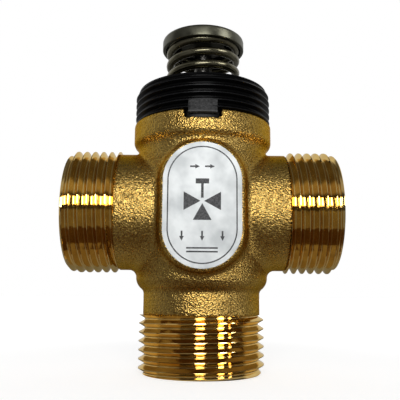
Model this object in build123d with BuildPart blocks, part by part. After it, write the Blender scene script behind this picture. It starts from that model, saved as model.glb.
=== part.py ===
"""Three-way zone valve for heating and cooling water, with a sprung push cap for a screw-on actuator.

A forged brass body has two side ports and a lower port, each with a male pipe thread. A flow cage
inside the body holds two seats, and a plug on the stem closes one seat or the other. A brass bonnet
carries the stem's seals and clamps the black threaded ring that an actuator screws onto. The return
spring lifts the push cap, the stem and the plug together.

Frame: z runs up the stem, x runs along the side ports, and the nameplate pad faces -y. The origin is
the centre of the lower port's sealing face. All lengths are in millimetres.
"""

import os
from math import radians, tan

from build123d import *

os.makedirs("parts", exist_ok=True)


# Male pipe thread on the three ports, G 3/4
pipe_thread_r = 13.22
pipe_thread_pitch = 1.814
pipe_thread_depth = 1.16
pipe_crest_flat = 0.12
pipe_flank_angle = 27.5
pipe_lead_chamfer = 0.9

# Ports
port_wall = 3.06
side_neck_inset = 0.57
side_neck_length = 3.75
side_thread_length = 10.7
side_waterway_depth = 14.5
side_passage_ledge = 2.2
lower_thread_length = 12.0
lower_neck_inset = 0.82
lower_neck_length = 4.9

# Barrel and collar of the forging
barrel_rise = 1.4
barrel_wall = 2.85
shoulder_height = 1.5
shoulder_edge_r = 0.8
shoulder_land = 2.95
collar_land = 0.85
collar_slope_height = 1.3
collar_height = 4.2
collar_overhang = 0.2
collar_edge_r = 0.4
neck_blend_r = 0.6

# Nameplate pad on the front and the plate stuck to it
pad_rise = 1.95
pad_width = 16.4
pad_height = 25.8
pad_drop = 0.65
pad_draft_angle = 13.0
pad_root_depth = 8.0
pad_edge_r = 0.5
label_margin = 0.5
label_thickness = 0.15

# Clearances
slip_gap = 0.05
running_gap = 0.05
face_gap = 0.05
seat_gap = 0.05

# Black actuator ring, M30 x 1.5
ring_thread_r = 15.0
ring_thread_pitch = 1.5
ring_thread_depth = 0.92
ring_crest_flat = 0.19
ring_flank_angle = 30.0
ring_wall = 1.18
ring_height = 7.9
ring_lead_length = 1.4
ring_lead_chamfer = 0.7
ring_web_height = 1.5
ring_web_ledge = 1.45
ring_web_gap = 0.25
notch_width = 7.5
notch_depth = 1.9
notch_corner_r = 0.6
key_side_gap = 0.2
key_reach = 2.4
tab_side_gap = 0.775
tab_drop = 0.7
tab_height = 2.7

# Bonnet and its seal
bonnet_ledge = 0.65
bonnet_recess_wall = 2.25
bonnet_recess_depth = 3.3
bonnet_seal_section = 1.4
bonnet_seal_groove = 1.9
bonnet_seal_height = 1.1
bonnet_flange_height = 1.1
bonnet_flange_gap = 0.3
bonnet_hex_inset = 2.9
bonnet_hex_height = 1.8
bonnet_tower_height = 5.1
bonnet_tower_wall = 1.5

# Stem seals and the gland nut over them
gland_pocket_r = 3.9
stem_seal_gap = 0.07
spacer_thickness = 0.6
gland_plug_length = 1.1
gland_flange_inset = 0.4
gland_flange_height = 0.8

# Flow cage and its two seats
cage_wall = 1.55
cage_foot_wall = 2.0
cage_foot_height = 1.75
lower_seat_web = 2.9
upper_seat_web = 2.0
upper_seat_drop = 1.0
upper_chamber_height = 7.6
window_width = 13.0
window_margin = 0.8
cage_seal_section = 1.4
cage_seal_groove = 1.9

# Stem, stroke and plug
stroke = 3.0
stem_r = 2.0
stem_tip_r = 1.5
stem_collar_r = 3.2
stem_collar_height = 1.25
stem_top_inset = 0.1
stem_tip_length = 0.6
seal_flow_gap = 1.35
seal_seat_overlap = 1.6
seal_thickness = 1.5
plug_flange_inset = 0.6
plug_flange_thickness = 1.35
plug_hub_r = 3.0
plug_washer_gap = 0.8
plug_washer_thickness = 0.6
plug_nut_flats = 5.5
plug_nut_height = 2.4

# Spring, push cap and the clip that ties the cap to the stem
spring_wire = 1.8
spring_pitch = 3.25
spring_length = 15.25
spring_tower_gap = 1.18
spring_washer_margin = 0.5
spring_washer_thickness = 0.5
spring_wall_gap = 0.17
cap_wall = 0.75
cap_height = 2.7
cap_plate = 0.8
cap_edge_r = 0.5
cap_dish_r = 4.2
cap_dish_depth = 1.2
cap_dish_slope = 0.6
clip_r = 3.2
clip_thickness = 0.6
clip_groove_depth = 0.4
clip_gap = 0.03

# Radii and reaches that follow from the sizes above
waterway_r = pipe_thread_r - pipe_thread_depth - port_wall
side_passage_r = waterway_r - side_passage_ledge
side_neck_r = pipe_thread_r - side_neck_inset
lower_neck_r = pipe_thread_r - lower_neck_inset
collar_r = ring_thread_r + collar_overhang
ring_bore_r = ring_thread_r - ring_thread_depth - ring_wall
ring_web_r = ring_bore_r - ring_web_ledge
bonnet_bore_r = ring_web_r - ring_web_gap
barrel_r = max(side_neck_r + barrel_rise, bonnet_bore_r + barrel_wall)
neck_end = barrel_r + side_neck_length
side_port_reach = neck_end + side_thread_length
pad_face_y = barrel_r + pad_rise
bonnet_spigot_r = bonnet_bore_r - slip_gap
cage_bore_r = bonnet_bore_r - bonnet_ledge
cage_r = cage_bore_r - slip_gap
cage_inner_r = cage_r - cage_wall
seal_r = cage_inner_r - seal_flow_gap
seat_orifice_r = seal_r - seal_seat_overlap
stem_bore_r = stem_r + running_gap
tower_r = gland_pocket_r + bonnet_tower_wall
spring_r = tower_r + spring_tower_gap + spring_wire / 2
spring_washer_r = spring_r + spring_wire / 2 + spring_washer_margin
cap_r = spring_r + spring_wire / 2 + spring_wall_gap + cap_wall

# Heights that follow from the sizes above
barrel_bottom_z = lower_thread_length + lower_neck_length
port_axis_z = barrel_bottom_z + shoulder_height + shoulder_land + side_neck_r
collar_slope_z = port_axis_z + side_neck_r + collar_land
collar_bottom_z = collar_slope_z + collar_slope_height
body_top_z = collar_bottom_z + collar_height
ring_top_z = body_top_z + ring_height
pad_middle_z = port_axis_z - pad_drop
upper_seat_z = port_axis_z - upper_seat_drop
plug_top_z = upper_seat_z - seat_gap
plug_bottom_z = plug_top_z - 2 * seal_thickness - plug_flange_thickness
lower_seat_z = plug_bottom_z - stroke - 2 * seat_gap
cage_bottom_z = lower_seat_z - lower_seat_web - cage_foot_height
cage_top_z = upper_seat_z + upper_seat_web + upper_chamber_height
bonnet_bottom_z = cage_top_z + face_gap
flange_bottom_z = body_top_z + ring_web_height + face_gap
hex_bottom_z = flange_bottom_z + bonnet_flange_height
hex_top_z = hex_bottom_z + bonnet_hex_height
tower_top_z = hex_top_z + bonnet_tower_height
spring_bottom_z = hex_top_z + spring_washer_thickness + face_gap
cap_top_z = spring_bottom_z + spring_length + face_gap + cap_plate
dish_top_z = cap_top_z - cap_dish_depth
clip_bottom_z = dish_top_z + clip_gap
washer_bottom_z = plug_bottom_z - plug_washer_thickness
nut_bottom_z = washer_bottom_z - plug_nut_height


def finish(builder, name):
    """Labels a finished piece and writes it as its own file."""
    builder.part.label = name
    export_step(builder.part, f"parts/{name}.step")


def thread_grooves(plane, axis, first, step, count, crest_r, crest_flat, depth, flank_angle):
    """Cuts one V groove round a plain cylinder for each turn of its thread, the pitch apart. The
    plane's x axis runs along the cylinder's axis, and its y axis is the radius."""
    flank = depth * tan(radians(flank_angle))
    root_flat = abs(step) - 2 * flank - crest_flat
    over = depth / 4
    mouth = root_flat / 2 + flank + over * tan(radians(flank_angle))
    with BuildSketch(plane) as grooves:
        for turn in range(count):
            middle = first + turn * step
            with BuildLine():
                Polyline(
                    (middle - root_flat / 2, crest_r - depth),
                    (middle + root_flat / 2, crest_r - depth),
                    (middle + mouth, crest_r + over),
                    (middle - mouth, crest_r + over),
                    close=True,
                )
            make_face()
    revolve(grooves.sketch, axis=axis, mode=Mode.SUBTRACT)


def pipe_thread_turns(length):
    """How many whole turns of groove fit between the neck and the lead chamfer."""
    return int((length - pipe_lead_chamfer) / pipe_thread_pitch)


def washer(name, outer_r, inner_r, bottom_z, thickness):
    """A plain flat ring round the stem."""
    with BuildPart() as ring:
        with BuildSketch(Plane.XY.offset(bottom_z)):
            Circle(outer_r)
            Circle(inner_r, mode=Mode.SUBTRACT)
        extrude(amount=thickness)
    finish(ring, name)


def o_ring(name, middle_r, section, middle_z):
    """A round-section rubber ring round the stem's axis."""
    with BuildPart() as ring:
        with BuildSketch(Plane.XZ):
            with Locations((middle_r, middle_z)):
                Circle(section / 2)
        revolve(axis=Axis.Z)
    finish(ring, name)


side_axis = Axis((0, 0, port_axis_z), (1, 0, 0))
side_plane = Plane(origin=(0, 0, port_axis_z), x_dir=(1, 0, 0), z_dir=(0, -1, 0))
stem_plane = Plane(origin=(0, 0, 0), x_dir=(0, 0, 1), z_dir=(0, 1, 0))
pad_plane = Plane(origin=(0, -pad_face_y, pad_middle_z), x_dir=(1, 0, 0), z_dir=(0, 1, 0))

# Nameplate pad of the forging: it narrows towards a flat front with a rounded edge
with BuildPart() as pad:
    with BuildSketch(pad_plane):
        SlotOverall(pad_height, pad_width, rotation=90)
    extrude(amount=pad_root_depth, taper=-pad_draft_angle)
    fillet(pad.faces().sort_by(Axis.Y)[0].edges(), pad_edge_r)

# Valve body: one brass forging, machined inside and threaded at its ports
lead_r = pipe_thread_r - pipe_lead_chamfer
with BuildPart() as valve_body:
    with BuildSketch(Plane.XZ) as barrel_profile:
        with BuildLine():
            Polyline(
                (0, 0),
                (lead_r, 0),
                (pipe_thread_r, pipe_lead_chamfer),
                (pipe_thread_r, lower_thread_length),
                (lower_neck_r, lower_thread_length),
                (lower_neck_r, barrel_bottom_z),
                (barrel_r, barrel_bottom_z + shoulder_height),
                (barrel_r, collar_slope_z),
                (collar_r, collar_bottom_z),
                (collar_r, body_top_z),
                (0, body_top_z),
                close=True,
            )
        make_face()
        corners = barrel_profile.vertices()
        fillet(corners.sort_by_distance((barrel_r, barrel_bottom_z + shoulder_height))[0], shoulder_edge_r)
        fillet(corners.sort_by_distance((collar_r, body_top_z))[0], collar_edge_r)
    revolve(axis=Axis.Z)
    with BuildSketch(side_plane):
        with BuildLine():
            Polyline(
                (-side_port_reach, 0),
                (-side_port_reach, lead_r),
                (-side_port_reach + pipe_lead_chamfer, pipe_thread_r),
                (-neck_end, pipe_thread_r),
                (-neck_end, side_neck_r),
                (neck_end, side_neck_r),
                (neck_end, pipe_thread_r),
                (side_port_reach - pipe_lead_chamfer, pipe_thread_r),
                (side_port_reach, lead_r),
                (side_port_reach, 0),
                close=True,
            )
        make_face()
    revolve(axis=side_axis)
    fillet(valve_body.edges().filter_by(GeomType.BSPLINE), neck_blend_r)
    add(pad.part)

    # Threads
    thread_grooves(
        stem_plane, Axis.Z, lower_thread_length - pipe_thread_pitch, -pipe_thread_pitch,
        pipe_thread_turns(lower_thread_length), pipe_thread_r, pipe_crest_flat,
        pipe_thread_depth, pipe_flank_angle,
    )
    for side in (-1, 1):
        thread_grooves(
            side_plane, side_axis, side * (neck_end + pipe_thread_pitch), side * pipe_thread_pitch,
            pipe_thread_turns(side_thread_length), pipe_thread_r, pipe_crest_flat,
            pipe_thread_depth, pipe_flank_angle,
        )

    # Bores: lower waterway, cage seat, bonnet bore, then the two side waterways
    with BuildSketch(Plane.XZ):
        with BuildLine():
            Polyline(
                (0, 0),
                (waterway_r, 0),
                (waterway_r, cage_bottom_z - face_gap),
                (cage_bore_r, cage_bottom_z - face_gap),
                (cage_bore_r, cage_top_z),
                (bonnet_bore_r, cage_top_z),
                (bonnet_bore_r, body_top_z),
                (0, body_top_z),
                close=True,
            )
        make_face()
    revolve(axis=Axis.Z, mode=Mode.SUBTRACT)
    for side in (-1, 1):
        with BuildSketch(side_plane):
            with BuildLine():
                Polyline(
                    (0, 0),
                    (0, side_passage_r),
                    (side * (side_port_reach - side_waterway_depth), side_passage_r),
                    (side * (side_port_reach - side_waterway_depth), waterway_r),
                    (side * side_port_reach, waterway_r),
                    (side * side_port_reach, 0),
                    close=True,
                )
            make_face()
        revolve(axis=side_axis, mode=Mode.SUBTRACT)

    # Notch in the collar that keeps the ring from turning
    with BuildSketch(Plane.XZ.offset(bonnet_bore_r - slip_gap)) as notch:
        with Locations((0, body_top_z)):
            Rectangle(notch_width, 2 * notch_depth)
        fillet(notch.vertices().group_by(Axis.Y)[0], notch_corner_r)
    extrude(amount=collar_r, mode=Mode.SUBTRACT)
finish(valve_body, "valve_body")

# Nameplate, stuck to the pad
with BuildPart() as label:
    with BuildSketch(pad_plane):
        SlotOverall(pad_height - 2 * label_margin, pad_width - 2 * label_margin, rotation=90)
    extrude(amount=-label_thickness)
finish(label, "label")

# Black actuator ring: it stands on the collar, and its key fills the collar's notch
tab_width = notch_width - 2 * tab_side_gap
with BuildPart() as actuator_ring:
    with BuildSketch(Plane.XZ):
        with BuildLine():
            Polyline(
                (ring_web_r, body_top_z),
                (ring_thread_r, body_top_z),
                (ring_thread_r, ring_top_z - ring_lead_length),
                (ring_thread_r - ring_lead_chamfer, ring_top_z),
                (ring_bore_r, ring_top_z),
                (ring_bore_r, body_top_z + ring_web_height),
                (ring_web_r, body_top_z + ring_web_height),
                close=True,
            )
        make_face()
    revolve(axis=Axis.Z)
    thread_turns = int((ring_height - ring_lead_length - ring_web_height / 2) / ring_thread_pitch)
    thread_grooves(
        stem_plane, Axis.Z, ring_top_z - ring_lead_length - ring_thread_pitch / 2, -ring_thread_pitch,
        thread_turns, ring_thread_r, ring_crest_flat, ring_thread_depth, ring_flank_angle,
    )
    # Key below the ring, inside the notch
    with BuildSketch(Plane.XZ.offset(ring_web_r)):
        with Locations((0, body_top_z)):
            Rectangle(notch_width - 2 * key_side_gap, notch_depth - key_side_gap, align=(Align.CENTER, Align.MAX))
    extrude(amount=key_reach)
    # Tab on the front, standing from the key up across the first threads
    with BuildSketch(Plane.XZ.offset(ring_bore_r)):
        with Locations((0, body_top_z - tab_drop)):
            Rectangle(tab_width, tab_height, align=(Align.CENTER, Align.MIN))
    extrude(amount=ring_thread_r - ring_bore_r)
    # The key's flat back is cut to the round bore, and the tab's face to the thread's outside
    with BuildSketch(Plane.XY.offset(body_top_z - notch_depth)):
        Circle(2 * ring_thread_r)
        Circle(ring_thread_r, mode=Mode.SUBTRACT)
        Circle(ring_web_r)
    extrude(amount=notch_depth + tab_height - tab_drop, mode=Mode.SUBTRACT)
finish(actuator_ring, "actuator_ring")

# Bonnet: turned brass, with a recess below, an O-ring groove, a clamping flange, a hexagon and a tower
bonnet_groove_bottom = bonnet_bottom_z + bonnet_seal_height
bonnet_groove_r = bonnet_spigot_r - bonnet_seal_section
bonnet_recess_r = bonnet_groove_r - bonnet_recess_wall
stem_seal_section = gland_pocket_r - stem_r - 2 * stem_seal_gap
gland_floor_z = tower_top_z - gland_plug_length - 2 * stem_seal_section - spacer_thickness - 4 * face_gap
with BuildPart() as bonnet:
    with BuildSketch(Plane.XZ):
        with BuildLine():
            Polyline(
                (stem_bore_r, bonnet_bottom_z + bonnet_recess_depth),
                (bonnet_recess_r, bonnet_bottom_z + bonnet_recess_depth),
                (bonnet_recess_r, bonnet_bottom_z),
                (bonnet_spigot_r, bonnet_bottom_z),
                (bonnet_spigot_r, bonnet_groove_bottom),
                (bonnet_groove_r, bonnet_groove_bottom),
                (bonnet_groove_r, bonnet_groove_bottom + bonnet_seal_groove),
                (bonnet_spigot_r, bonnet_groove_bottom + bonnet_seal_groove),
                (bonnet_spigot_r, flange_bottom_z),
                (ring_bore_r - bonnet_flange_gap, flange_bottom_z),
                (ring_bore_r - bonnet_flange_gap, hex_bottom_z),
                (tower_r, hex_bottom_z),
                (tower_r, tower_top_z),
                (gland_pocket_r, tower_top_z),
                (gland_pocket_r, gland_floor_z),
                (stem_bore_r, gland_floor_z),
                close=True,
            )
        make_face()
    revolve(axis=Axis.Z)
    with BuildSketch(Plane.XY.offset(hex_bottom_z)):
        RegularPolygon(ring_bore_r - bonnet_hex_inset, 6, major_radius=False)
        Circle(tower_r, mode=Mode.SUBTRACT)
    extrude(amount=bonnet_hex_height)
finish(bonnet, "bonnet")

o_ring(
    "bonnet_seal",
    bonnet_spigot_r - bonnet_seal_section / 2,
    bonnet_seal_section - slip_gap,
    bonnet_groove_bottom + bonnet_seal_groove / 2,
)

# Stem seals with a spacer between them, held down by the gland nut
gland_flange_r = tower_r - gland_flange_inset
stem_seal_r = (stem_r + gland_pocket_r) / 2
lower_seal_z = gland_floor_z + face_gap + stem_seal_section / 2
spacer_bottom_z = lower_seal_z + stem_seal_section / 2 + face_gap
upper_seal_z = spacer_bottom_z + spacer_thickness + face_gap + stem_seal_section / 2
o_ring("stem_seal_lower", stem_seal_r, stem_seal_section, lower_seal_z)
washer("seal_spacer", gland_pocket_r - slip_gap, stem_bore_r, spacer_bottom_z, spacer_thickness)
o_ring("stem_seal_upper", stem_seal_r, stem_seal_section, upper_seal_z)

with BuildPart() as gland_nut:
    with BuildSketch(Plane.XZ):
        with BuildLine():
            Polyline(
                (stem_bore_r, tower_top_z - gland_plug_length),
                (gland_pocket_r - slip_gap, tower_top_z - gland_plug_length),
                (gland_pocket_r - slip_gap, tower_top_z),
                (gland_flange_r, tower_top_z),
                (gland_flange_r, tower_top_z + gland_flange_height),
                (stem_bore_r, tower_top_z + gland_flange_height),
                close=True,
            )
        make_face()
    revolve(axis=Axis.Z)
finish(gland_nut, "gland_nut")

# Spring, standing on its washer on the bonnet's hexagon and reaching into the push cap
washer("spring_washer", spring_washer_r, tower_r + slip_gap, hex_top_z, spring_washer_thickness)

spring_start = (0, 0, spring_bottom_z + spring_wire / 2)
with BuildPart() as return_spring:
    with BuildLine() as spring_path:
        Helix(spring_pitch, spring_length - spring_wire, spring_r, center=spring_start)
    with BuildSketch(Plane(spring_path.line @ 0, z_dir=spring_path.line % 0)):
        Circle(spring_wire / 2)
    sweep(is_frenet=True)
finish(return_spring, "return_spring")

# Flow cage: an insert with a sealed foot, a lower and an upper seat, and one window over each
cage_foot_bore_r = cage_r - cage_foot_wall
lower_web_bottom_z = lower_seat_z - lower_seat_web
cage_groove_middle = lower_seat_z - lower_seat_web / 2
cage_groove_r = cage_r - cage_seal_section
with BuildPart() as flow_cage:
    with BuildSketch(Plane.XZ):
        with BuildLine():
            Polyline(
                (cage_foot_bore_r, cage_bottom_z),
                (cage_r, cage_bottom_z),
                (cage_r, cage_groove_middle - cage_seal_groove / 2),
                (cage_groove_r, cage_groove_middle - cage_seal_groove / 2),
                (cage_groove_r, cage_groove_middle + cage_seal_groove / 2),
                (cage_r, cage_groove_middle + cage_seal_groove / 2),
                (cage_r, cage_top_z),
                (cage_inner_r, cage_top_z),
                (cage_inner_r, upper_seat_z + upper_seat_web),
                (seat_orifice_r, upper_seat_z + upper_seat_web),
                (seat_orifice_r, upper_seat_z),
                (cage_inner_r, upper_seat_z),
                (cage_inner_r, lower_seat_z),
                (seat_orifice_r, lower_seat_z),
                (seat_orifice_r, lower_web_bottom_z),
                (cage_foot_bore_r, lower_web_bottom_z),
                close=True,
            )
        make_face()
    revolve(axis=Axis.Z)
    windows = (
        (1, lower_seat_z, upper_seat_z),
        (-1, upper_seat_z + upper_seat_web, cage_top_z),
    )
    for side, chamber_bottom, chamber_top in windows:
        with BuildSketch(Plane.YZ):
            with Locations((0, (chamber_bottom + chamber_top) / 2)):
                Rectangle(window_width, chamber_top - chamber_bottom - 2 * window_margin)
        extrude(amount=side * cage_bore_r, mode=Mode.SUBTRACT)
finish(flow_cage, "flow_cage")

o_ring("cage_seal", cage_r - cage_seal_section / 2, cage_seal_section - slip_gap, cage_groove_middle)

# Stem: turned steel, with a tip for the plug, a collar above it and a groove for the clip
with BuildPart() as stem:
    with BuildSketch(Plane.XZ):
        with BuildLine():
            Polyline(
                (0, nut_bottom_z - stem_tip_length),
                (stem_tip_r, nut_bottom_z - stem_tip_length),
                (stem_tip_r, plug_top_z),
                (stem_collar_r, plug_top_z),
                (stem_collar_r, plug_top_z + stem_collar_height),
                (stem_r, plug_top_z + stem_collar_height),
                (stem_r, clip_bottom_z - clip_gap),
                (stem_r - clip_groove_depth, clip_bottom_z - clip_gap),
                (stem_r - clip_groove_depth, clip_bottom_z + clip_thickness + clip_gap),
                (stem_r, clip_bottom_z + clip_thickness + clip_gap),
                (stem_r, cap_top_z - stem_top_inset),
                (0, cap_top_z - stem_top_inset),
                close=True,
            )
        make_face()
    revolve(axis=Axis.Z)
finish(stem, "stem")

# Plug: a brass core between two rubber rings, held by a washer and a nut
core_bore_r = stem_tip_r + slip_gap
plug_flange_r = seal_r - plug_flange_inset
flange_z = plug_bottom_z + seal_thickness
with BuildPart() as plug_core:
    with BuildSketch(Plane.XZ):
        with BuildLine():
            Polyline(
                (core_bore_r, plug_bottom_z),
                (plug_hub_r, plug_bottom_z),
                (plug_hub_r, flange_z),
                (plug_flange_r, flange_z),
                (plug_flange_r, flange_z + plug_flange_thickness),
                (plug_hub_r, flange_z + plug_flange_thickness),
                (plug_hub_r, plug_top_z),
                (core_bore_r, plug_top_z),
                close=True,
            )
        make_face()
    revolve(axis=Axis.Z)
finish(plug_core, "plug_core")

washer("plug_seal_lower", seal_r, plug_hub_r + slip_gap, plug_bottom_z, seal_thickness)
washer("plug_seal_upper", seal_r, plug_hub_r + slip_gap, flange_z + plug_flange_thickness, seal_thickness)
washer("plug_washer", seat_orifice_r - plug_washer_gap, core_bore_r, washer_bottom_z, plug_washer_thickness)

with BuildPart() as plug_nut:
    with BuildSketch(Plane.XY.offset(nut_bottom_z)):
        RegularPolygon(plug_nut_flats / 2, 6, major_radius=False)
        Circle(core_bore_r, mode=Mode.SUBTRACT)
    extrude(amount=plug_nut_height)
finish(plug_nut, "plug_nut")

# Push cap: a pressed steel cup with a dished middle that the stem passes through
dish_wall_r = cap_dish_r + cap_dish_slope
with BuildPart() as push_cap:
    with BuildSketch(Plane.XZ) as cap_profile:
        with BuildLine():
            Polyline(
                (cap_r, cap_top_z - cap_height),
                (cap_r, cap_top_z),
                (dish_wall_r, cap_top_z),
                (cap_dish_r, dish_top_z),
                (stem_bore_r, dish_top_z),
                (stem_bore_r, dish_top_z - cap_plate),
                (cap_dish_r + cap_plate, dish_top_z - cap_plate),
                (dish_wall_r + cap_plate, cap_top_z - cap_plate),
                (cap_r - cap_wall, cap_top_z - cap_plate),
                (cap_r - cap_wall, cap_top_z - cap_height),
                close=True,
            )
        make_face()
        fillet(cap_profile.vertices().sort_by_distance((cap_r, cap_top_z))[0], cap_edge_r)
    revolve(axis=Axis.Z)
finish(push_cap, "push_cap")

# Clip in the stem's groove, open at one side so that it can be pushed on
clip_bore_r = stem_r - clip_groove_depth + clip_gap
with BuildPart() as cap_clip:
    with BuildSketch(Plane.XY.offset(clip_bottom_z)):
        Circle(clip_r)
        Circle(clip_bore_r, mode=Mode.SUBTRACT)
        with Locations((0, clip_r)):
            Rectangle(2 * clip_bore_r, 2 * clip_r, mode=Mode.SUBTRACT)
    extrude(amount=clip_thickness)
finish(cap_clip, "cap_clip")
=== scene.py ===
import math

import bmesh
import bpy
import numpy as np
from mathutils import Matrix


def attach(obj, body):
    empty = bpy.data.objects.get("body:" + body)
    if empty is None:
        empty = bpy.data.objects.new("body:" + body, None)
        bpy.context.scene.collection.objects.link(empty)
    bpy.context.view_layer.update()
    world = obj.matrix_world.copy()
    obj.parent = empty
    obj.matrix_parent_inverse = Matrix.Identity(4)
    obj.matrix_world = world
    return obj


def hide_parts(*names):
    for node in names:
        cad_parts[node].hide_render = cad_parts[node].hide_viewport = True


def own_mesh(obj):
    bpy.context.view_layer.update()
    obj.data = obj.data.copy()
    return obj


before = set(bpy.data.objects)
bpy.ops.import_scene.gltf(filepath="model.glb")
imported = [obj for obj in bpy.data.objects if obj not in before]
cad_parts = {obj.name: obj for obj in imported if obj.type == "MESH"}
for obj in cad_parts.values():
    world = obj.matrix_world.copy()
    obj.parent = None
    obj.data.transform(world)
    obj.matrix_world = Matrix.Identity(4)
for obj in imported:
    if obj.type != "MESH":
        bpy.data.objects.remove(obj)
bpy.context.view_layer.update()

import openvdb
from mathutils import Matrix, Vector

# Body forging.
# A tee of hot-forged brass: a barrel with a collar on top, two side necks, a lower neck and the pad for
# the nameplate. It is shot-blasted all over, then bored for the flow cage and the bonnet.
mm = 0.001
port_axis_z, body_top_z = 34.0, 53.0
barrel_r, side_neck_r, neck_end = 14.05, 12.65, 17.8
lower_neck_r, lower_neck_foot, lower_neck_head, shoulder_z, shoulder_slope = 12.4, 12.0, 30.0, 16.9, 1.1
collar_r, collar_z, collar_slope = 15.2, 47.4, 0.9
pad_z, pad_front, pad_half_width, pad_half_straight, pad_draft = 33.35, -16.0, 8.2, 4.7, math.radians(13)
notch_half_width, notch_floor, notch_back = 3.75, 51.1, 11.15
waterway_r, side_seat_r, side_seat_end = 9.0, 6.8, 14.0
cage_bore_r, cage_bore_floor, bonnet_bore_r, bonnet_bore_floor = 10.55, 20.8, 11.2, 42.6
cut_edge_r = 0.12


def joined(a, b, fillet):
    """Two distances as one solid, with a fillet of that radius in the crease."""
    crease = np.hypot(np.maximum(fillet - a, 0), np.maximum(fillet - b, 0))
    return np.maximum(fillet, np.minimum(a, b)) - crease


def met(a, b, radius):
    """What two solids share, with the edge between them rounded to that radius."""
    return -joined(-a, -b, radius)


def forging_distance(p):
    """Millimetres from each point to the skin of the forging, negative inside the brass."""
    x, y, z = p[..., 0], p[..., 1], p[..., 2]
    around = np.hypot(x, y)
    across = np.hypot(y, z - port_axis_z)
    side_x = np.abs(x)
    shoulder = (around - lower_neck_r) - (z - shoulder_z) * shoulder_slope
    brass = met(around - barrel_r, shoulder / math.hypot(1, shoulder_slope), radius=0.9)
    brass = joined(brass, np.maximum(around - lower_neck_r, z - lower_neck_head), fillet=0.35)
    collar_foot = (around - barrel_r) - (z - collar_z) * collar_slope
    collar = met(around - collar_r, collar_foot / math.hypot(1, collar_slope), radius=0.35)
    collar = met(collar, z - body_top_z, radius=0.4)
    brass = joined(np.maximum(brass, z - body_top_z), collar, fillet=0.5)
    # The side necks' fillet is 1.65 mm under them and 0.65 mm over them
    neck_fillet = 1.15 - 0.5 * np.clip((z - port_axis_z) / 9.0, -1, 1)
    brass = joined(brass, across - side_neck_r, neck_fillet)
    oval = np.hypot(x, np.maximum(np.abs(z - pad_z) - pad_half_straight, 0)) - pad_half_width
    pad_sides = (oval - (y - pad_front) * math.tan(pad_draft)) * math.cos(pad_draft)
    pad = met(pad_sides, pad_front - y, radius=0.6)
    brass = joined(brass, np.maximum(pad, y), fillet=0.8)
    brass = met(brass, side_x - neck_end, cut_edge_r)
    brass = met(brass, lower_neck_foot - z, cut_edge_r)
    hollow = np.minimum.reduce([
        around - waterway_r,
        np.maximum(around - cage_bore_r, cage_bore_floor - z),
        np.maximum(around - bonnet_bore_r, bonnet_bore_floor - z),
        across - side_seat_r,
        np.maximum(across - waterway_r, side_seat_end - side_x),
    ])
    brass = met(brass, -hollow, cut_edge_r)
    notch = np.maximum(met(side_x - notch_half_width, notch_floor - z, radius=0.6), y + notch_back)
    return met(brass, -notch, radius=0.15)


def solid_mesh(name, vertices, faces, sharp_degrees=40):
    """A mesh object in metres from points in millimetres, with smooth faces between its sharp edges."""
    same_point = 0.000002
    mesh = bpy.data.meshes.new(name)
    mesh.from_pydata((np.asarray(vertices, float) * mm).tolist(), [], [list(map(int, f)) for f in faces])
    shape = bmesh.new()
    shape.from_mesh(mesh)
    bmesh.ops.remove_doubles(shape, verts=shape.verts, dist=same_point)
    bmesh.ops.recalc_face_normals(shape, faces=shape.faces)
    shape.to_mesh(mesh)
    shape.free()
    mesh.shade_smooth()
    mesh.set_sharp_from_angle(angle=math.radians(sharp_degrees))
    piece = bpy.data.objects.new(name, mesh)
    bpy.context.scene.collection.objects.link(piece)
    return piece


def skin_of(distance, low, high, step):
    """Points and four-sided faces of a solid's skin: a regular net, then each point moved on to it."""
    axes = [np.arange(a, b + step, step) for a, b in zip(low, high)]
    grid = openvdb.FloatGrid(3 * step)
    grid.copyFromArray(distance(np.stack(np.meshgrid(*axes, indexing="ij"), -1)).astype(np.float32))
    points, quads = grid.convertToQuads(isovalue=0.0)
    points = points.astype(float) * step + np.array(low)
    nudge, moves, least_slope = 0.01, 4, 0.25
    for _ in range(moves):
        slope = np.stack([
            distance(points + n) - distance(points - n) for n in np.eye(3) * nudge], -1) / (2 * nudge)
        size = np.maximum((slope ** 2).sum(-1), least_slope)
        points -= np.clip(distance(points) / size, -step, step)[:, None] * slope
    return points, quads


forging = solid_mesh("body_forging", *skin_of(
    forging_distance, low=(-18.4, -16.6, 11.4), high=(18.4, 15.8, 53.6), step=0.33))

# Blasted brass: steel shot leaves a fine even grain whose small facets catch the light one by one.


def node_group(name, inputs, outputs):
    """An empty shader group with those sockets, and its two end nodes."""
    group = bpy.data.node_groups.new(name, "ShaderNodeTree")
    for socket, kind, value in inputs:
        made = group.interface.new_socket(socket, in_out="INPUT", socket_type=kind)
        made.default_value = value
    for socket, kind in outputs:
        group.interface.new_socket(socket, in_out="OUTPUT", socket_type=kind)
    return group, group.nodes.new("NodeGroupInput"), group.nodes.new("NodeGroupOutput")


def add(tree, kind, links=(), **settings):
    """A node with its settings, and its inputs filled by index or name with a value or a socket."""
    node = tree.nodes.new(kind)
    for key, value in settings.items():
        setattr(node, key, value)
    for key, value in dict(links).items():
        if isinstance(value, bpy.types.NodeSocket):
            tree.links.new(value, node.inputs[key])
        else:
            node.inputs[key].default_value = value
    return node


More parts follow.
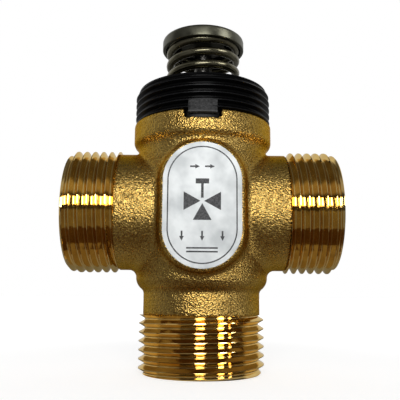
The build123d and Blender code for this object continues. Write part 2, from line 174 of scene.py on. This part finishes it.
grain, g_in, g_out = node_group(
    "Blast grain",
    [("Grain per metre", "NodeSocketFloat", 2900.0), ("Light", "NodeSocketColor", (0.72, 0.51, 0.16, 1)),
     ("Dark", "NodeSocketColor", (0.33, 0.17, 0.026, 1))],
    [("Color", "NodeSocketColor"), ("Height", "NodeSocketFloat"), ("Roughness", "NodeSocketFloat")],
)
place = add(grain, "ShaderNodeTexCoord").outputs["Object"]
coarse = add(grain, "ShaderNodeTexNoise", {
    "Vector": place, "Scale": g_in.outputs["Grain per metre"], "Detail": 2.0, "Roughness": 0.55})
pits = add(grain, "ShaderNodeTexVoronoi", {"Vector": place, "Scale": g_in.outputs["Grain per metre"]})
height = add(grain, "ShaderNodeMath", {0: coarse.outputs["Fac"], 1: pits.outputs["Distance"]},
             operation="ADD")
patches = add(grain, "ShaderNodeTexNoise", {"Vector": place, "Scale": 160.0, "Detail": 3.0})
fleck = add(grain, "ShaderNodeMath", {0: coarse.outputs["Fac"], 1: 1.6, 2: -0.55},
            operation="MULTIPLY_ADD")
tone = add(grain, "ShaderNodeMath", {0: patches.outputs["Fac"], 1: 0.5, 2: fleck.outputs[0]},
           operation="MULTIPLY_ADD", use_clamp=True)
mixed = add(grain, "ShaderNodeMix", {
    0: tone.outputs[0], 6: g_in.outputs["Dark"], 7: g_in.outputs["Light"]}, data_type="RGBA")
rough = add(grain, "ShaderNodeMapRange", {
    "Value": coarse.outputs["Fac"], "From Min": 0.3, "From Max": 0.7, "To Min": 0.23, "To Max": 0.32})
grain.links.new(mixed.outputs[2], g_out.inputs["Color"])
grain.links.new(height.outputs[0], g_out.inputs["Height"])
grain.links.new(rough.outputs[0], g_out.inputs["Roughness"])


def finish_of(name, metallic, roughness):
    """A new material with one Principled shader, ready for its colour and grain."""
    material = bpy.data.materials.new(name)
    material.use_nodes = True
    shader = material.node_tree.nodes["Principled BSDF"]
    shader.inputs["Metallic"].default_value = metallic
    shader.inputs["Roughness"].default_value = roughness
    return material, material.node_tree, shader


def colored(tree, factor, dark, light, low=0.0, high=1.0):
    """The material's colour: dark where the factor is at its low, light where it is at its high."""
    ramp = add(tree, "ShaderNodeValToRGB", {"Fac": factor})
    ends = ramp.color_ramp.elements
    ends[0].position, ends[0].color = low, (*dark, 1)
    ends[1].position, ends[1].color = high, (*light, 1)
    tree.links.new(ramp.outputs["Color"], tree.nodes["Principled BSDF"].inputs["Base Color"])


def embossed(tree, height, distance, strength=1.0):
    """The material's relief, that many metres deep."""
    bump = add(tree, "ShaderNodeBump", {"Strength": strength, "Distance": distance, "Height": height})
    tree.links.new(bump.outputs["Normal"], tree.nodes["Principled BSDF"].inputs["Normal"])


blasted_brass, tree, shader = finish_of("Blasted brass", 1.0, 0.45)
blast = add(tree, "ShaderNodeGroup", node_tree=grain)
shader.inputs["Specular Tint"].default_value = (0.7, 0.48, 0.2, 1)
tree.links.new(blast.outputs["Color"], shader.inputs["Base Color"])
tree.links.new(blast.outputs["Roughness"], shader.inputs["Roughness"])
embossed(tree, blast.outputs["Height"], distance=0.000095)
forging.data.materials.append(blasted_brass)
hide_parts("valve_body")
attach(forging, "valve")

# Threaded ports.
# The three ends of the forging, turned bright and cut with a right-hand G 3/4 thread of 14 turns an
# inch, with sharp crests, round roots and a lead chamfer. Each is bored out for the water.
pipe_pitch, pipe_thread_r, port_end_r, port_mouth_r, port_mouth_depth = 1.814, 13.22, 12.3, 9.4, 0.4
side_port_length, lower_port_length = 10.7, 12.0


def thread_turn(crest_r, pitch, depth, flank_degrees, crest_flat):
    """One turn of a thread's outline, as (along, radius), with straight flanks and a round root."""
    flank = math.radians(flank_degrees)
    steep = 1 / math.tan(flank)
    sharp_depth = (pitch - crest_flat) / 2 * steep
    root = (sharp_depth - depth) / (1 / math.sin(flank) - 1)
    outline = [(-crest_flat / 2, crest_r), (crest_flat / 2, crest_r)]
    for k in range(-4, 5):
        turn = (math.pi / 2 - flank) * (k / 4)
        r = crest_r - depth + root * (1 - math.cos(turn))
        outline.append((pitch / 2 + root * math.sin(turn), r))
    return outline


def ring_faces(rows, count, joined_ends=False):
    """Four-sided faces over rows of count points, each row a ring. The last row can join the first."""
    faces = []
    for row in range(rows if joined_ends else rows - 1):
        here, there = row * count, (row + 1) % rows * count
        for k in range(count):
            on = (k + 1) % count
            faces.append((here + k, here + on, there + on, there + k))
    return faces


def threaded_tube(
    name, origin, along, start, length, turn, pitch, phase, crest_limit, inside, steps=180,
):
    """A tube with a thread outside. crest_limit(s) is the radius that the ends allow, and inside is the
    outline of the bore, as (s, radius) from the far end back to the near one."""
    along, start = Vector(along), Vector(start)
    sideways = along.cross(start)
    turns = range(-2, int(length / pitch) + 3)
    rows = []
    for step in range(steps + 1):
        angle = 2 * math.pi * step / steps
        shift = phase + pitch * step / steps
        outer = [(k * pitch + shift + s, r) for k in turns for s, r in turn]
        flat_s, flat_r = np.array([s for s, _ in outer]), np.array([r for _, r in outer])
        s = np.clip(flat_s, 0, length)
        r = np.minimum(np.interp(s, flat_s, flat_r), [crest_limit(v) for v in s])
        out = start * math.cos(angle) + sideways * math.sin(angle)
        rows.append([Vector(origin) + along * a + out * b for a, b in list(zip(s, r)) + inside])
    faces = ring_faces(len(rows), len(rows[0]))
    return solid_mesh(name, [v for row in rows for v in row], faces, sharp_degrees=50)


pipe_turn = thread_turn(pipe_thread_r, pipe_pitch, depth=1.2, flank_degrees=30, crest_flat=0.16)
ports = []
for name, origin, along, start, length, phase in (
    ("left_port", (-neck_end, 0, port_axis_z), (-1, 0, 0), (0, 0, 1), side_port_length, 0.14),
    ("right_port", (neck_end, 0, port_axis_z), (1, 0, 0), (0, 0, 1), side_port_length, 1.25),
    ("lower_port", (0, 0, lower_neck_foot), (0, 0, -1), (1, 0, 0), lower_port_length, 0.89),
):
    ports.append(threaded_tube(
        name, origin, along, start, length, pipe_turn, pipe_pitch, phase,
        crest_limit=lambda s, length=length: port_end_r + (length - s),
        inside=[(length, port_mouth_r), (length - port_mouth_depth, waterway_r), (0, waterway_r)],
    ))

turning, t_in, t_out = node_group(
    "Turning marks",
    [("Along", "NodeSocketVector", (0, 0, 1)), ("Marks per metre", "NodeSocketFloat", 9000.0),
     ("Roughness low", "NodeSocketFloat", 0.12), ("Roughness high", "NodeSocketFloat", 0.24)],
    [("Height", "NodeSocketFloat"), ("Roughness", "NodeSocketFloat"), ("Tone", "NodeSocketFloat")],
)
place = add(turning, "ShaderNodeTexCoord").outputs["Object"]
depth_along = add(turning, "ShaderNodeVectorMath", {0: place, 1: t_in.outputs["Along"]},
                  operation="DOT_PRODUCT")
lines = add(turning, "ShaderNodeTexNoise", {
    "W": depth_along.outputs["Value"], "Scale": t_in.outputs["Marks per metre"], "Detail": 2.0},
    noise_dimensions="1D")
smears = add(turning, "ShaderNodeTexNoise", {"Vector": place, "Scale": 300.0, "Detail": 3.0})
turned_rough = add(turning, "ShaderNodeMapRange", {
    "Value": smears.outputs["Fac"], "From Min": 0.35, "From Max": 0.65,
    "To Min": t_in.outputs["Roughness low"], "To Max": t_in.outputs["Roughness high"]})
turning.links.new(lines.outputs["Fac"], t_out.inputs["Height"])
turning.links.new(turned_rough.outputs[0], t_out.inputs["Roughness"])
turning.links.new(smears.outputs["Fac"], t_out.inputs["Tone"])


def turned_metal(name, along, dark, light, marks, roughness, edge=(1, 1, 1)):
    """A lathe-turned metal, with so many fine marks a metre round its axis and a range of roughness."""
    smoothest, roughest = roughness
    mark_depth = 0.000006
    material, tree, shader = finish_of(name, 1.0, roughest)
    shader.inputs["Specular Tint"].default_value = (*edge, 1)
    cut = add(tree, "ShaderNodeGroup", {
        "Along": along, "Marks per metre": marks, "Roughness low": smoothest, "Roughness high": roughest,
    }, node_tree=turning)
    colored(tree, cut.outputs["Tone"], dark, light, low=0.35, high=0.65)
    tree.links.new(cut.outputs["Roughness"], shader.inputs["Roughness"])
    embossed(tree, cut.outputs["Height"], mark_depth)
    return material


side_brass, stem_brass = [
    turned_metal(name, along, dark=(0.68, 0.46, 0.17), light=(0.8, 0.57, 0.22), marks=9000.0,
                 roughness=(0.05, 0.09), edge=(0.96, 0.86, 0.62))
    for name, along in (("Turned brass, side ports", (1, 0, 0)), ("Turned brass", (0, 0, 1)))
]
for port in ports:
    port.data.materials.append(stem_brass if port.name == "lower_port" else side_brass)
    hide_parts("valve_body")
    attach(port, "valve")

# Actuator ring.
# Moulded black plastic with a coarse M30 x 1.5 thread outside for the actuator's nut. It stands on the
# collar; its key drops into the collar's notch, and a rough tab on the key shows where it was gated.
ring_thread_r, ring_pitch, ring_height, ring_bore_r = 15.0, 1.5, 7.9, 12.9
ring_flange_r, ring_flange_height, ring_lead_z = 14.98, 0.7, 6.5
ring_foot_height, ring_foot_bore_r = 1.5, 11.45
ring_turn = thread_turn(ring_thread_r, ring_pitch, depth=0.8, flank_degrees=30, crest_flat=0.19)


def ring_limit(s):
    """Plain flange below the thread, and a tapered lead above it."""
    if s < ring_flange_height:
        return ring_flange_r
    return min(ring_thread_r, ring_flange_r - 0.5 * (s - ring_lead_z))


ring = threaded_tube(
    "actuator_ring_thread", (0, 0, body_top_z), (0, 0, 1), (1, 0, 0), ring_height, ring_turn, ring_pitch,
    phase=0.845, crest_limit=ring_limit,
    inside=[(7.75, 13.0), (7.6, ring_bore_r), (ring_foot_height, ring_bore_r),
            (ring_foot_height, ring_foot_bore_r), (0, ring_foot_bore_r)],
)


def rounded_block(name, half_width, bottom, top, edge_r, inner_r, outer_r):
    """A block on the front of the stem's axis, bent to the two radii, with rounded edges."""
    margin = 0.6

    def distance(p):
        x, y, z = p[..., 0], p[..., 1], p[..., 2]
        around = np.hypot(x, y)
        sides = met(np.abs(x) - half_width, np.abs(z - (bottom + top) / 2) - (top - bottom) / 2, edge_r)
        return met(np.maximum(sides, y), met(around - outer_r, inner_r - around, edge_r), edge_r)

    low = (-half_width - margin, -outer_r - margin, bottom - margin)
    high = (half_width + margin, -inner_r * 0.9, top + margin)
    return solid_mesh(name, *skin_of(distance, low, high, step=0.16))


key = rounded_block("actuator_ring_key", 3.55, 51.3, 53.2, edge_r=0.25, inner_r=11.5, outer_r=13.85)
tab = rounded_block("actuator_ring_tab", 2.97, 52.35, 55.0, edge_r=0.15, inner_r=13.0, outer_r=14.97)

# The crests are painted a mottled lighter grey as a painted highlight, from 14.88 mm out from the stem's
# axis
black_plastic, tree, shader = finish_of("Black moulded plastic", 0.0, 0.3)
shader.inputs["Specular IOR Level"].default_value = 0.12
place = add(tree, "ShaderNodeTexCoord").outputs["Object"]
flat = add(tree, "ShaderNodeVectorMath", {0: place, 1: (1, 1, 0)}, operation="MULTIPLY")
radius = add(tree, "ShaderNodeVectorMath", {0: flat.outputs["Vector"]}, operation="LENGTH")
crest_highlight_mask = add(tree, "ShaderNodeMapRange", {
    "Value": radius.outputs["Value"], "From Min": 0.01488, "From Max": 0.01499})
mottle = add(tree, "ShaderNodeTexNoise", {"Vector": place, "Scale": 900.0, "Detail": 4.0})
mottled_crest_highlight = add(tree, "ShaderNodeMath", {0: crest_highlight_mask.outputs[0], 1: mottle.outputs["Fac"]}, operation="MULTIPLY")
colored(tree, mottled_crest_highlight.outputs[0], dark=(0.0015, 0.0015, 0.0017), light=(0.011, 0.011, 0.012), high=0.6)
embossed(tree, mottle.outputs["Fac"], distance=0.00001, strength=0.3)

# The tab's torn face is palest along its low edge
rough_plastic, tree, shader = finish_of("Rough gate plastic", 0.0, 0.6)
shader.inputs["Specular IOR Level"].default_value = 0.2
place = add(tree, "ShaderNodeTexCoord").outputs["Object"]
torn = add(tree, "ShaderNodeTexNoise", {
    "Vector": place, "Scale": 2200.0, "Detail": 5.0, "Roughness": 0.7})
height = add(tree, "ShaderNodeSeparateXYZ", {"Vector": place})
low_edge = add(tree, "ShaderNodeMapRange", {
    "Value": height.outputs["Z"], "From Min": 0.0527, "From Max": 0.0524})
pale = add(tree, "ShaderNodeMath", {0: low_edge.outputs[0], 1: 0.5, 2: torn.outputs["Fac"]},
           operation="MULTIPLY_ADD")
colored(tree, pale.outputs[0], dark=(0.006, 0.006, 0.0065), light=(0.12, 0.12, 0.12), low=0.3, high=0.95)
embossed(tree, torn.outputs["Fac"], distance=0.00005, strength=0.7)

for piece, material in ((ring, black_plastic), (key, black_plastic), (tab, rough_plastic)):
    piece.data.materials.append(material)
    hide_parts("actuator_ring")
    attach(piece, "valve")

# Return spring.
# Round steel wire of 1.8 mm, coiled right-handed, with its end coils closed and ground flat. It stands
# on the bonnet's washer and pushes the cap up.
spring_bottom, spring_top, wire_r, coil_r = 58.0, 73.25, 0.9, 7.48
coils, steps_per_coil, wire_sides = 6, 96, 20
closed_foot, foot_ease, closed_head, head_ease = 0.35, 0.8, 5.75, 0.9


def both_ends(total, count):
    """One face over the first count points and one over the last."""
    return [tuple(range(count)), tuple(total - 1 - k for k in range(count))]


turns = np.linspace(0, coils, coils * steps_per_coil + 1)
rise = np.clip((turns - closed_foot) / foot_ease, 0, 1)
rise = rise * np.clip((closed_head - turns) / head_ease, 0, 1)
climb = np.concatenate([[0], np.cumsum((rise[1:] + rise[:-1]) / 2 * np.diff(turns))])
centre_z = spring_bottom + wire_r + climb / climb[-1] * (spring_top - spring_bottom - 2 * wire_r)
points = []
for t, z in zip(turns, centre_z):
    angle = 2 * math.pi * t - math.pi / 2
    out = np.array([math.cos(angle), math.sin(angle), 0])
    for k in range(wire_sides):
        bend = 2 * math.pi * k / wire_sides
        p = out * (coil_r + wire_r * math.cos(bend)) + np.array([0, 0, z + wire_r * math.sin(bend)])
        p[2] = min(max(p[2], spring_bottom), spring_top)
        points.append(p)
faces = ring_faces(len(turns), wire_sides) + both_ends(len(points), wire_sides)
spring = solid_mesh("return_spring_wire", points, faces, sharp_degrees=60)
spring_steel = turned_metal(
    "Drawn spring steel", (0, 0, 1), dark=(0.11, 0.101, 0.062), light=(0.19, 0.175, 0.118),
    marks=3000.0, roughness=(0.2, 0.32))
spring.data.materials.append(spring_steel)
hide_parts("return_spring")
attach(spring, "valve")
# 15.25 mm long at rest, and 3 mm shorter at full stroke
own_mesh(spring)

# Push cap.
# A cup pressed from steel sheet, with a rolled shoulder, a dished middle that the stem passes through,
# and a bare cut edge below. Its skirt covers the spring's top coil.


def lathe(name, outline, steps=192, sharp_degrees=30):
    """A closed ring of metal turned round the stem's axis from its (radius, height) outline."""
    points = [(r * math.cos(a), r * math.sin(a), z)
              for a in np.linspace(0, 2 * math.pi, steps, endpoint=False) for r, z in outline]
    return solid_mesh(name, points, ring_faces(steps, len(outline), joined_ends=True), sharp_degrees)


def rounded(outline, radii, steps=6):
    """The outline with each corner rounded to its radius."""
    smooth = []
    for i, (corner, radius) in enumerate(zip(outline, radii)):
        p = Vector(corner)
        back, on = Vector(outline[i - 1]) - p, Vector(outline[(i + 1) % len(outline)]) - p
        half = back.angle(on) / 2
        centre = p + (back.normalized() + on.normalized()).normalized() * radius / math.sin(half)
        a = p + back.normalized() * radius / math.tan(half) - centre
        b = p + on.normalized() * radius / math.tan(half) - centre
        for k in range(steps + 1):
            smooth.append(tuple(centre + a.slerp(b, k / steps) * radius))
    return smooth


cap = lathe("push_cap_shell", rounded(
    [(9.3, 71.4), (9.3, 74.1), (4.8, 74.1), (4.2, 72.9), (2.05, 72.9),
     (2.05, 72.1), (5.0, 72.1), (5.6, 73.3), (8.55, 73.3), (8.55, 71.4)],
    [0.25, 0.8, 0.3, 0.3, 0.1, 0.1, 0.3, 0.3, 0.3, 0.15]))
cap_steel = turned_metal(
    "Pressed cap steel", (0, 0, 1), dark=(0.075, 0.073, 0.052), light=(0.13, 0.127, 0.095),
    marks=2500.0, roughness=(0.26, 0.4))
cap.data.materials.append(cap_steel)
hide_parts("push_cap")
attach(cap, "plunger")

# Nameplate.
# Aluminium foil printed in black and stuck to the pad. In a thin border it bears the flow symbol of a
# three-way valve, three triangles that meet, with arrows above and below it and two rules at the foot.
label_front = -16.13
rim_points = 80


def stadium(width, height):
    """Points round an upright oval with straight sides."""
    r, straight = width / 2, (height - width) / 2
    angles = np.linspace(0, 2 * math.pi, rim_points, endpoint=False) + math.pi / rim_points
    return [(r * math.cos(a), r * math.sin(a) + math.copysign(straight, math.sin(a))) for a in angles]


rims = [(15.4, 24.8, pad_front), (15.4, 24.8, label_front + 0.04), (15.3, 24.7, label_front),
        (14.0, 23.4, label_front - 0.004)]
points = [(x, y, z + pad_z) for width, height, y in rims for x, z in stadium(width, height)]
faces = ring_faces(len(rims), rim_points) + both_ends(len(points), rim_points)
label = solid_mesh("label_foil", points, faces, sharp_degrees=30)

silver_foil, tree, shader = finish_of("Silver foil", 0.35, 0.5)
place = add(tree, "ShaderNodeTexCoord").outputs["Object"]
wavy = add(tree, "ShaderNodeTexNoise", {
    "Vector": place, "Scale": 220.0, "Detail": 3.0, "Roughness": 0.5})
fine = add(tree, "ShaderNodeTexNoise", {"Vector": place, "Scale": 2500.0, "Detail": 2.0})
both = add(tree, "ShaderNodeMath", {0: fine.outputs["Fac"], 1: 0.08, 2: wavy.outputs["Fac"]},
           operation="MULTIPLY_ADD")
colored(tree, wavy.outputs["Fac"], dark=(0.52, 0.545, 0.55), light=(0.76, 0.785, 0.785),
        low=0.35, high=0.65)
embossed(tree, both.outputs[0], distance=0.0002, strength=0.5)
label.data.materials.append(silver_foil)


def printed(name, outlines):
    """Flat printed shapes on the foil, each a list of (x, z) corners from the pad's middle."""
    ink_front = label_front - 0.012
    points, faces = [], []
    for outline in outlines:
        faces.append(tuple(range(len(points), len(points) + len(outline))))
        points += [(x, ink_front, z + pad_z) for x, z in outline]
    return solid_mesh(name, points, faces)


outer, inner = stadium(13.6, 23.0), stadium(13.1, 22.5)
border = [(outer[k], outer[(k + 1) % rim_points], inner[(k + 1) % rim_points], inner[k])
          for k in range(rim_points)]
flow = [
    [(-0.35, 0.6), (-3.6, 2.4), (-3.6, -1.2)],
    [(0.35, 0.6), (3.6, -1.2), (3.6, 2.4)],
    [(0, 0.15), (-1.8, -3.1), (1.8, -3.1)],
    [(-0.25, 1.2), (0.25, 1.2), (0.25, 4.0), (-0.25, 4.0)],
    [(-1.3, 4.0), (1.3, 4.0), (1.3, 5.0), (-1.3, 5.0)],
]


def arrow(x, z, dx, dz, length=1.9, width=0.34):
    """A small arrow from (x, z) along the unit direction (dx, dz)."""
    neck, flare = length - 0.9, 2.6
    shape = [(0, -1), (neck, -1), (neck, -flare), (length, 0), (neck, flare), (neck, 1), (0, 1)]
    return [(x + dx * a - dz * b * width / 2, z + dz * a + dx * b * width / 2) for a, b in shape]


arrows = [arrow(x, -5.2, 0, -1) for x in (-3.9, 0, 3.9)] + [arrow(x, 7.4, 1, 0) for x in (-2.4, 0.5)]
rules = [[(-3.0, z), (3.0, z), (3.0, z + 0.3), (-3.0, z + 0.3)] for z in (-8.6, -9.3)]
ink = printed("label_print", border + flow + arrows + rules)
black_ink, tree, shader = finish_of("Black ink on foil", 0.0, 0.5)
place = add(tree, "ShaderNodeTexCoord").outputs["Object"]
thin = add(tree, "ShaderNodeTexNoise", {"Vector": place, "Scale": 3500.0, "Detail": 2.0})
colored(tree, thin.outputs["Fac"], dark=(0.012, 0.012, 0.014), light=(0.09, 0.09, 0.095),
        low=0.35, high=0.8)
ink.data.materials.append(black_ink)
for piece in (label, ink):
    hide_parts("label")
    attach(piece, "valve")

# CAD pieces that keep their own mesh.
# The bonnet and gland are in turned brass painted dark, a painted shade for the hollow in the spring;
# the cage, spacer and plug in bright brass, the washer and clip in spring steel, the stem with its
# washer and nut in ground steel painted dark as the same painted shade, and the seals in rubber.
black_rubber, tree, shader = finish_of("Black rubber", 0.0, 0.6)
place = add(tree, "ShaderNodeTexCoord").outputs["Object"]
dust = add(tree, "ShaderNodeTexNoise", {"Vector": place, "Scale": 1200.0, "Detail": 3.0})
colored(tree, dust.outputs["Fac"], dark=(0.01, 0.01, 0.01), light=(0.035, 0.035, 0.035))
# Painted shade: the bonnet and gland nut are coloured dark, for the shade inside the spring
brass_painted_dark_as_shade = turned_metal(
    "Turned brass painted dark as shade", (0, 0, 1), dark=(0.1, 0.072, 0.032), light=(0.17, 0.125, 0.058),
    marks=7000.0, roughness=(0.3, 0.45))
# Painted shade: the ground steel is coloured dark, for the shade behind the spring's coils
stem_steel_painted_dark_as_shade = turned_metal(
    "Ground stem steel painted dark as shade", (0, 0, 1), dark=(0.16, 0.155, 0.14), light=(0.26, 0.25, 0.23),
    marks=12000.0, roughness=(0.2, 0.3))
for material, nodes in (
    (brass_painted_dark_as_shade, ("bonnet", "gland_nut")),
    (stem_brass, ("seal_spacer", "flow_cage", "plug_core")),
    (spring_steel, ("spring_washer", "cap_clip")),
    (stem_steel_painted_dark_as_shade, ("stem", "plug_washer", "plug_nut")),
    (black_rubber, ("bonnet_seal", "stem_seal_lower", "stem_seal_upper", "cage_seal", "plug_seal_upper",
                    "plug_seal_lower")),
):
    for node in nodes:
        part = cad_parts[node]
        part.data.materials.clear()
        part.data.materials.append(material)

# Studio.
# The valve stands on pale paper, in a room that is white behind it and dark in front. A soft lamp over
# the camera, cards at both sides and strips at the right give the bright threads their bands.


def sheet_on_table(name, left, right, front, back, z, material):
    """A flat sheet of the studio between two x and two y."""
    corners = [(left, front, z), (right, front, z), (right, back, z), (left, back, z)]
    mesh = bpy.data.meshes.new(name)
    mesh.from_pydata(corners, [], [(0, 1, 2, 3)])
    mesh.materials.append(material)
    sheet = bpy.data.objects.new(name, mesh)
    bpy.context.scene.collection.objects.link(sheet)
    return sheet


table_reach, table_front, cloth_back, cloth_z = 3.0, -0.045, -0.0145, 0.0003

# The camera sees the paper glow white, a little less near the valve
paper, tree, shader = finish_of("Pale paper floor", 0.0, 0.9)
shader.inputs["Base Color"].default_value = (0.6, 0.6, 0.6, 1)
shader.inputs["Specular IOR Level"].default_value = 0.1
shader.inputs["Emission Color"].default_value = (1, 1, 1, 1)
seen = add(tree, "ShaderNodeLightPath")
place = add(tree, "ShaderNodeTexCoord").outputs["Object"]
away = add(tree, "ShaderNodeVectorMath", {0: place}, operation="LENGTH")
level = add(tree, "ShaderNodeMapRange", {
    "Value": away.outputs["Value"], "From Min": 0.04, "From Max": 0.2, "To Min": 0.7, "To Max": 1.0,
}, interpolation_type="SMOOTHSTEP")
part_white = add(tree, "ShaderNodeMath", {0: seen.outputs["Is Camera Ray"], 1: level.outputs[0]},
                 operation="MULTIPLY")
tree.links.new(part_white.outputs[0], shader.inputs["Emission Strength"])
sheet_on_table("floor", -table_reach, table_reach, table_front, table_reach, 0.0, paper)
# The metal mirrors the lamps that stand lower than the table, past its front edge
front_floor = sheet_on_table(
    "front_floor", -table_reach, table_reach, -table_reach, table_front, 0.0, paper)
front_floor.visible_glossy = front_floor.visible_shadow = False

# A brown cloth lies on the table in front of the valve, with a tongue under each side port. The metal
# mirrors it, and the camera doesn't see it
brown_cloth, tree, shader = finish_of("Brown cloth", 0.0, 1.0)
shader.inputs["Specular IOR Level"].default_value = 0.0
weave = add(tree, "ShaderNodeTexNoise", {"Scale": 900.0})
colored(tree, weave.outputs["Fac"], dark=(0.115, 0.074, 0.048), light=(0.22, 0.143, 0.095))
for name, left, right, front, back in (
    ("brown_cloth", -0.3, 0.3, table_front, cloth_back),
    ("cloth_under_left_port", -0.033, -0.021, cloth_back, -0.007),
    ("cloth_under_right_port", 0.021, 0.033, cloth_back, -0.007),
):
    cloth = sheet_on_table(name, left, right, front, back, cloth_z, brown_cloth)
    cloth.visible_camera = cloth.visible_shadow = cloth.visible_diffuse = False

world = bpy.data.worlds.new("Studio")
bpy.context.scene.world = world
world.use_nodes = True
tree = world.node_tree
look = add(tree, "ShaderNodeTexCoord").outputs["Generated"]
axis = add(tree, "ShaderNodeSeparateXYZ", {"Vector": look})
seen = add(tree, "ShaderNodeLightPath")


def wall(along, start, end, low=0.0, high=1.0):
    """A level that goes softly from low to high between two values of the look's X, Y or Z."""
    return add(tree, "ShaderNodeMapRange", {
        "Value": axis.outputs[along], "From Min": start, "From Max": end, "To Min": low, "To Max": high,
    }, interpolation_type="SMOOTHSTEP").outputs[0]


def mixed_level(factor, a, b):
    """Level a where the factor is 0, and level b where it is 1."""
    return add(tree, "ShaderNodeMix", {"Factor": factor, "A": a, "B": b}).outputs[0]


def brighter(a, b):
    """The brighter of two levels."""
    return add(tree, "ShaderNodeMath", {0: a, 1: b}, operation="MAXIMUM").outputs[0]


white_wall, ceiling = 0.7, 0.12
behind, overhead = wall("Y", 0.0, 0.25), wall("Z", 0.72, 0.84)
upper = wall("Z", 0.42, 0.55, low=0.05, high=0.42)
left_side = wall("X", -0.62, -0.76, high=0.12)
lower = wall("Z", 0.0, -0.06, high=0.21)
walls = mixed_level(behind, brighter(upper, brighter(lower, left_side)), white_wall)
room = mixed_level(overhead, walls, ceiling)
white_to_camera = mixed_level(seen.outputs["Is Camera Ray"], room, 1.0)
tree.nodes["Background"].inputs["Color"].default_value = (1, 1, 1, 1)
tree.links.new(white_to_camera, tree.nodes["Background"].inputs["Strength"])

# Each lamp has its bearing and rise in degrees from the valve, its distance, width and height in metres,
# its radiance, and then the only pieces that it lights or the ones that it leaves out
aim = Vector((0, 0, 0.034))
side_ports, lower_port = ports[:2], ports[2]
for name, bearing, rise, distance, width, height, radiance, only, never in (
    ("front lamp", 0.0, 15.3, 0.46, 0.26, 0.13, 10.0, [], ports),
    ("front lamp on the side ports", 0.0, 15.3, 0.46, 0.26, 0.13, 16.0, side_ports, []),
    ("left card", -49.5, 12.8, 0.5, 0.1, 0.13, 16.0, side_ports, []),
    ("right card", 49.5, 12.8, 0.5, 0.1, 0.13, 16.0, side_ports, []),
    ("front lamp tail", -1.9, -6.5, 0.45, 0.125, 0.13, 14.0, [lower_port], []),
    ("right strip", 39.0, -5.0, 0.5, 0.09, 0.2, 20.0, [lower_port], []),
    ("far right strip", 57.5, -5.0, 0.5, 0.03, 0.2, 16.0, [lower_port], []),
    ("left board", -66.0, -5.0, 0.5, 0.45, 0.3, 0.35, [lower_port], []),
    ("right board", 48.0, -5.0, 0.5, 0.14, 0.2, 4.0, [forging], []),
    ("cap card", 60.0, 25.0, 0.4, 0.14, 0.14, 8.0, [cap, spring], []),
):
    lamp = bpy.data.lights.new(name, "AREA")
    lamp.shape, lamp.size, lamp.size_y = "RECTANGLE", width, height
    lamp.energy = radiance * math.pi * width * height
    stand = bpy.data.objects.new(name, lamp)
    az, el = math.radians(bearing), math.radians(rise)
    toward = Vector((math.sin(az) * math.cos(el), -math.cos(az) * math.cos(el), math.sin(el)))
    stand.location = aim + distance * toward
    stand.rotation_euler = (aim - stand.location).to_track_quat("-Z", "Y").to_euler()
    stand.visible_camera = False
    bpy.context.scene.collection.objects.link(stand)
    reach = bpy.data.collections.new(name + " reach")
    stand.light_linking.receiver_collection = reach
    for piece, state in [(o, "INCLUDE") for o in only] + [(o, "EXCLUDE") for o in never]:
        reach.objects.link(piece)
        reach.collection_objects[len(reach.collection_objects) - 1].light_linking.link_state = state

# Camera, as the photograph was taken: a little below the middle of the valve and looking up at it.
# The lens is 558.2 pixels long in a picture 400 pixels wide.
eye = (-0.00035, -0.12186, 0.01603)
sensor_width = 36.0
pitch, roll, yaw = math.radians(9.70), math.radians(0.455), math.radians(-0.05)
forward = Vector((math.sin(yaw) * math.cos(pitch), math.cos(yaw) * math.cos(pitch), math.sin(pitch)))
level_right = Vector((math.cos(yaw), -math.sin(yaw), 0))
level_up = level_right.cross(forward)
right = level_right * math.cos(roll) + level_up * math.sin(roll)
up = level_up * math.cos(roll) - level_right * math.sin(roll)
lens = bpy.data.cameras.new("camera")
lens.sensor_width, lens.lens = sensor_width, 558.2 / 400 * sensor_width
lens.clip_start = 0.001
camera = bpy.data.objects.new("camera", lens)
turn = Matrix((right, up, -forward)).transposed().to_4x4()
camera.matrix_world = Matrix.Translation(eye) @ turn
bpy.context.scene.collection.objects.link(camera)
bpy.context.scene.camera = camera
bpy.context.scene.view_settings.view_transform = "Standard"
